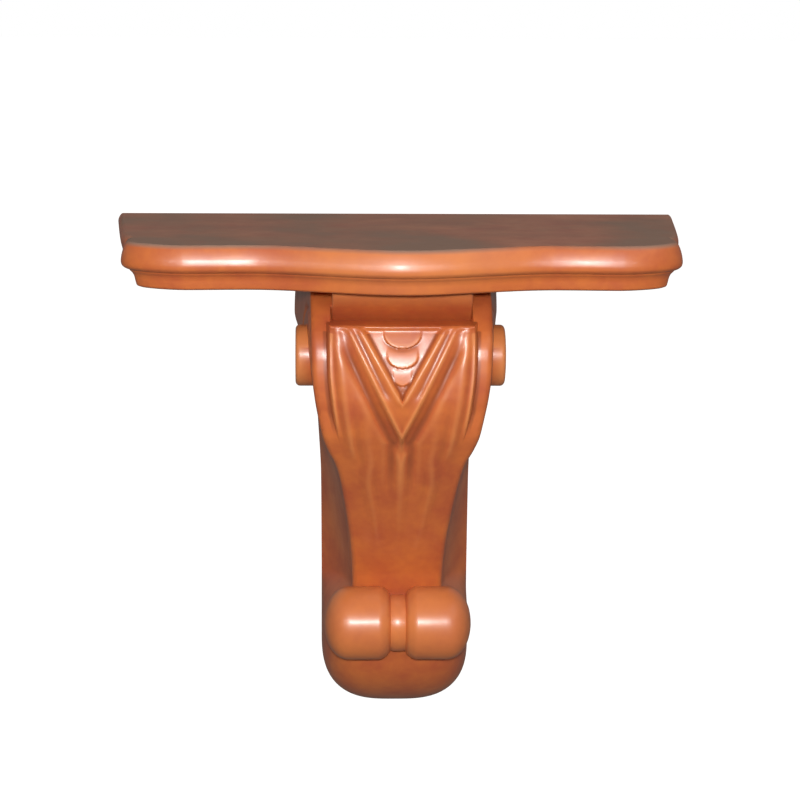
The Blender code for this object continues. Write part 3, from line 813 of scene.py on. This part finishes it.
corbel = joined(makeScroll(), [makeBlock(), makeRoll(), makeEye(-1), makeEye(1)])
markCorbel(corbel.data)
print("corbel made,", len(corbel.data.polygons), "faces")
shelf = makeShelf()
markEdge(shelf.data)
print("shelf made,", len(shelf.data.polygons), "faces")
sharpFrom = 34  # degrees between two faces
for piece in (corbel, shelf):
    piece.data.shade_smooth()
    piece.data.set_sharp_from_angle(angle=math.radians(sharpFrom))

glaze = {
    "body": "#C76B34",
    "red": "#B25530",
    # the darker colour: painted shade, and in the carving's grooves partly pooled glaze
    "paintedShadeColour": "#8A4527",
    # the lighter colour: painted light and highlight, and on the carved ridges partly thin glaze
    "edge": "#DC8B50",
    # grey-brown on the shelf's top and over its rounded edge: partly dust, partly a painted sheen of
    # the room
    "dustAndSheen": "#937462",
    "patch": 0.030,  # m across one patch of thicker or thinner glaze
    "mottle": 0.005,
    "mottleShare": 0.25,
    "coat": 0.38,
    "coatRough": 0.26,
    "refraction": 1.5,
    "ripple": 0.009,  # across one ripple of the surface
    "rippleDepth": 0.0004,
    "rippleShare": 0.25,
    "wornPatch": 0.09,  # across one patch of the shelf's top that is worn clear of dust
    "dustAndSheenBelow": (0.0028, 0.0004),  # the shelf's top and its rounded edge, from none to all of the dust and painted sheen
    "dustRough": 0.25,
    # the patches and the painted light and shade at each point, from a low and a high value to what
    # these turn into
    "redness": {"From Min": 0.45, "From Max": 0.82},
    "paintedShade": {"From Min": 0.05, "From Max": 0.9, "To Max": 0.8},
    "paintedLight": {"From Min": -0.05, "From Max": -0.9, "To Max": 0.6},
    "rough": {"From Min": 0.3, "From Max": 0.7, "To Min": 0.34, "To Max": 0.44},
    "dustAndSheenAmount": {"From Min": 0.35, "From Max": 0.62, "To Min": 0.2, "To Max": 0.95},
}


# Terracotta under a clear gloss glaze, cast and fired, and a clear coat gives crisp highlights.
# Its colour is darker in painted shade, which in the carving's grooves is partly pooled glaze, and
# lighter in painted light and highlights, which on the carved ridges is partly thin glaze. On the
# shelf's top a grey-brown, partly dust and partly a painted sheen, makes it dull between worn
# patches.
def glazedTerracotta(name, dustAndSheenOnTop):
    g = glaze
    material = bpy.data.materials.new(name)
    material.use_nodes = True
    tree = material.node_tree
    shader = tree.nodes["Principled BSDF"]
    shader.inputs["Coat Weight"].default_value = g["coat"]
    shader.inputs["Coat Roughness"].default_value = g["coatRough"]
    shader.inputs["IOR"].default_value = g["refraction"]
    timesPlus = {"operation": "MULTIPLY_ADD"}
    blend = {"data_type": "RGBA"}
    place = addNode(tree, "ShaderNodeTexCoord").outputs["Object"]
    # broad patches and a fine mottle take the body's colour to red
    broad = {"Scale": 1 / g["patch"], "Detail": 3.0, "Roughness": 0.55}
    patch = addNode(tree, "ShaderNodeTexNoise", broad, {"Vector": place}).outputs["Fac"]
    fine = {"Scale": 1 / g["mottle"], "Detail": 2.0}
    mottle = addNode(tree, "ShaderNodeTexNoise", fine, {"Vector": place}).outputs["Fac"]
    both = addNode(tree, "ShaderNodeMath", {1: g["mottleShare"]}, {0: mottle, 2: patch}, **timesPlus)
    redness = addNode(tree, "ShaderNodeMapRange", g["redness"], {"Value": both.outputs[0]})
    fired = {"A": colour(g["body"]), "B": colour(g["red"])}
    base = addNode(tree, "ShaderNodeMix", fired, {"Factor": redness.outputs[0]}, **blend)
    # darker in painted shade and pooled glaze, and lighter in painted light and thin glaze
    glazeAndPaintedLight = addNode(tree, "ShaderNodeAttribute", attribute_name="glazeAndPaintedLight").outputs["Fac"]
    low = addNode(tree, "ShaderNodeMapRange", g["paintedShade"], {"Value": glazeAndPaintedLight})
    under = {"Factor": low.outputs[0], "A": base.outputs["Result"]}
    paintedShade = addNode(tree, "ShaderNodeMix", {"B": colour(g["paintedShadeColour"])}, under, **blend)
    high = addNode(tree, "ShaderNodeMapRange", g["paintedLight"], {"Value": glazeAndPaintedLight})
    under = {"Factor": high.outputs[0], "A": paintedShade.outputs["Result"]}
    finish = addNode(tree, "ShaderNodeMix", {"B": colour(g["edge"])}, under, **blend).outputs["Result"]
    rough = addNode(tree, "ShaderNodeMapRange", g["rough"], {"Value": patch}).outputs[0]
    # the top gets a grey-brown that stands for dust and for a painted sheen, and loses its coat there
    if dustAndSheenOnTop:
        height = addNode(tree, "ShaderNodeSeparateXYZ", {}, {"Vector": place}).outputs["Z"]
        start, end = g["dustAndSheenBelow"]
        top = {"From Min": shelfSize["top"] - start, "From Max": shelfSize["top"] - end}
        onTop = addNode(tree, "ShaderNodeMapRange", top, {"Value": height}).outputs[0]
        wide = {"Scale": 1 / g["wornPatch"], "Detail": 4.0}
        worn = addNode(tree, "ShaderNodeTexNoise", wide, {"Vector": place}).outputs["Fac"]
        left = addNode(tree, "ShaderNodeMapRange", g["dustAndSheenAmount"], {"Value": worn}).outputs[0]
        dustAndSheen = addNode(tree, "ShaderNodeMath", {}, {0: onTop, 1: left}, operation="MULTIPLY").outputs[0]
        under = {"Factor": dustAndSheen, "A": finish}
        covered = addNode(tree, "ShaderNodeMix", {"B": colour(g["dustAndSheen"])}, under, **blend)
        finish = covered.outputs["Result"]
        duller = addNode(tree, "ShaderNodeMath", {1: g["dustRough"]}, {0: dustAndSheen, 2: rough}, **timesPlus)
        rough = duller.outputs[0]
        clear = addNode(tree, "ShaderNodeMath", {1: -g["coat"], 2: g["coat"]}, {0: dustAndSheen}, **timesPlus)
        tree.links.new(clear.outputs[0], shader.inputs["Coat Weight"])
    waves = {"Scale": 1 / g["ripple"], "Detail": 1.0}
    ripple = addNode(tree, "ShaderNodeTexNoise", waves, {"Vector": place}).outputs["Fac"]
    slight = {"Strength": g["rippleShare"], "Distance": g["rippleDepth"]}
    bump = addNode(tree, "ShaderNodeBump", slight, {"Height": ripple}).outputs[0]
    tree.links.new(finish, shader.inputs["Base Color"])
    tree.links.new(rough, shader.inputs["Roughness"])
    tree.links.new(bump, shader.inputs["Normal"])
    tree.links.new(bump, shader.inputs["Coat Normal"])
    return material


corbel.data.materials.clear()
corbel.data.materials.append(glazedTerracotta("glazedTerracotta", False))
shelf.data.materials.append(glazedTerracotta("glazedTerracottaDustAndSheenTop", True))
for piece, node, slot in ((corbel, "corbel", "corbel_glaze"), (shelf, "shelf", "shelf_glaze")):
    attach(piece, "root")
    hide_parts(node)
print("glazes made")

bpy.context.scene.view_settings.view_transform = "Standard"
